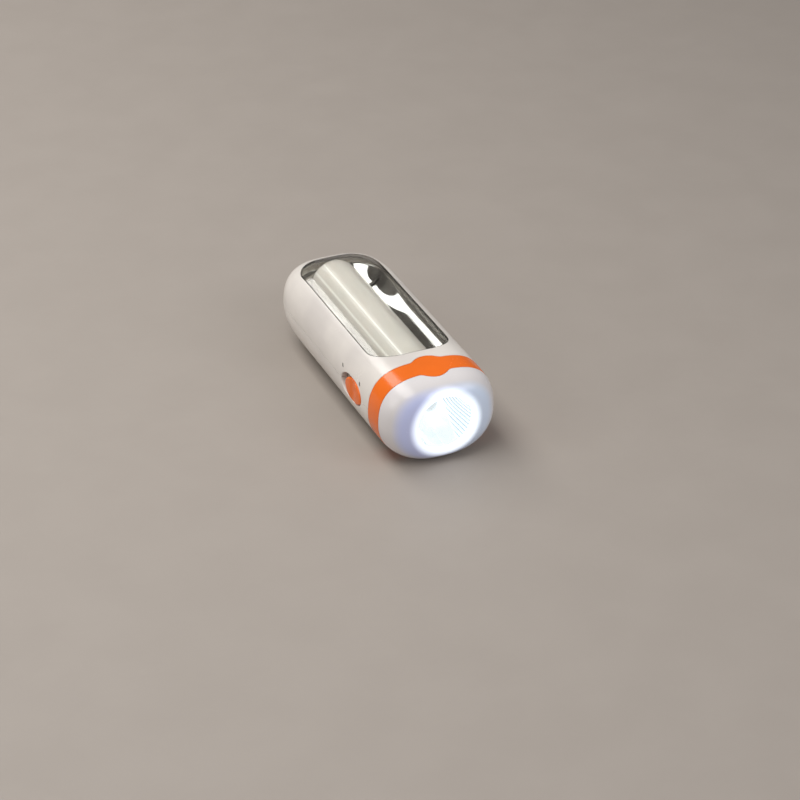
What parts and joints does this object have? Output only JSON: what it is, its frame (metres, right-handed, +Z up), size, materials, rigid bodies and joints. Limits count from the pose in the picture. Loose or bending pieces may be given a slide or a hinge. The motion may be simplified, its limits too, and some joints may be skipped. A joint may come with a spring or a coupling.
{
  "type": "hand crank flashlight",
  "caption": "Rounded hand crank torch with a round front lamp, a long lantern window on top, a slide switch on one side and a folding crank on the other.",
  "frame": {"origin": "centre of the flat on the underside that the torch rests on", "axes": "-Y along the torch beam, +Z up through the lantern window, +X towards the crank"},
  "size_m": [0.0792, 0.1893, 0.0542],
  "materials": {
    "white_shell": "glossy warm white moulded ABS",
    "orange_shell": "glossy orange moulded ABS",
    "bezel_plastic": "glossy translucent white moulding lit from inside",
    "clear_plastic": "clear polished polycarbonate",
    "milky_plastic": "milky diffusing plastic",
    "chromed": "bright metallised plastic",
    "dark_plastic": "fine matt moulded plastic",
    "circuit_board": "green solder mask",
    "led_board": "white solder mask",
    "lit_led": "clear dome over a lit emitter",
    "steel": "bright drawn or turned steel",
    "zinc_plated": "zinc plated sheet",
    "brass": "turned brass",
    "aluminium": "plain turned aluminium",
    "gear_plastic": "natural acetal",
    "copper_wire": "enamelled copper winding",
    "magnet": "sintered magnet on a steel shaft",
    "rubber": "soft black sealing ring",
    "cell_wrap": "printed-free blue shrink sleeve over the cell can"
  },
  "bodies": {
    "casing": {"upper_shell": "white_shell", "lower_shell": "white_shell", "accent_band": "orange_shell", "front_bezel": "bezel_plastic", "torch_lens": "clear_plastic", "lens_seal": "rubber", "torch_reflector": "chromed", "torch_led": "lit_led", "torch_led_board": "led_board", "heat_sink": "aluminium", "window_cover": "clear_plastic", "lantern_reflector": "chromed", "diffuser_tube": "milky_plastic", "lantern_led_board": "led_board", "slide_plate": "dark_plastic", "switch_body": "zinc_plated", "control_board": "circuit_board", "storage_capacitor": "dark_plastic", "battery_cell": "cell_wrap", "battery_tab_front": "zinc_plated", "battery_tab_rear": "zinc_plated", "gearbox_frame": "gear_plastic", "gearbox_plate": "zinc_plated", "gearbox_screw_1": "steel", "gearbox_screw_2": "steel", "gearbox_screw_3": "steel", "gear_axle_a": "steel", "gear_axle_b": "steel", "generator_can": "zinc_plated", "stator_winding": "copper_wire", "crank_bush": "brass", "case_screw_1": "steel", "case_screw_2": "steel", "case_screw_3": "steel", "case_screw_4": "steel"},
    "slider": {"switch_knob": "orange_shell", "switch_lever": "dark_plastic"},
    "crank": {"crank_gear": "gear_plastic", "crank_shaft": "steel", "crank_arm": "white_shell", "crank_screw": "steel", "hinge_pin": "steel"},
    "folding_knob": {"knob_hinge": "white_shell", "knob_spindle": "steel"},
    "grip": {"knob_grip": "orange_shell"},
    "gear_a": {"compound_gear_a": "gear_plastic"},
    "gear_b": {"compound_gear_b": "gear_plastic"},
    "rotor": {"generator_rotor": "magnet", "rotor_pinion": "brass"}
  },
  "joints": [
    {"name": "switch_slide", "type": "slide", "parent": "casing", "child": "slider", "axis": [0, 1, 0], "range_m": [0, 0.0054]},
    {"name": "crank_spin", "type": "hinge", "parent": "casing", "child": "crank", "pos_m": [0.033, 0.017, 0.0199], "axis": [1, 0, 0], "continuous": true},
    {"name": "knob_fold", "type": "hinge", "parent": "crank", "child": "folding_knob", "pos_m": [0.0382, 0.059, 0.0199], "axis": [0, 0, 1], "range_deg": [0, 90]},
    {"name": "knob_spin", "type": "hinge", "parent": "folding_knob", "child": "grip", "pos_m": [0.0382, 0.0435, 0.0199], "axis": [0, 1, 0], "continuous": true},
    {"name": "gear_a_spin", "type": "hinge", "parent": "casing", "child": "gear_a", "pos_m": [0.015, 0.0025, 0.0199], "axis": [1, 0, 0], "continuous": true},
    {"name": "gear_b_spin", "type": "hinge", "parent": "casing", "child": "gear_b", "pos_m": [0.015, -0.0105, 0.0199], "axis": [1, 0, 0], "continuous": true},
    {"name": "rotor_spin", "type": "hinge", "parent": "casing", "child": "rotor", "pos_m": [0.002, -0.022, 0.0199], "axis": [1, 0, 0], "continuous": true}
  ],
  "couplings": [
    {"joint": "gear_a_spin", "follows": "crank_spin", "ratio": -3.8333},
    {"joint": "gear_b_spin", "follows": "crank_spin", "ratio": 12.778},
    {"joint": "rotor_spin", "follows": "crank_spin", "ratio": -46}
  ]
}
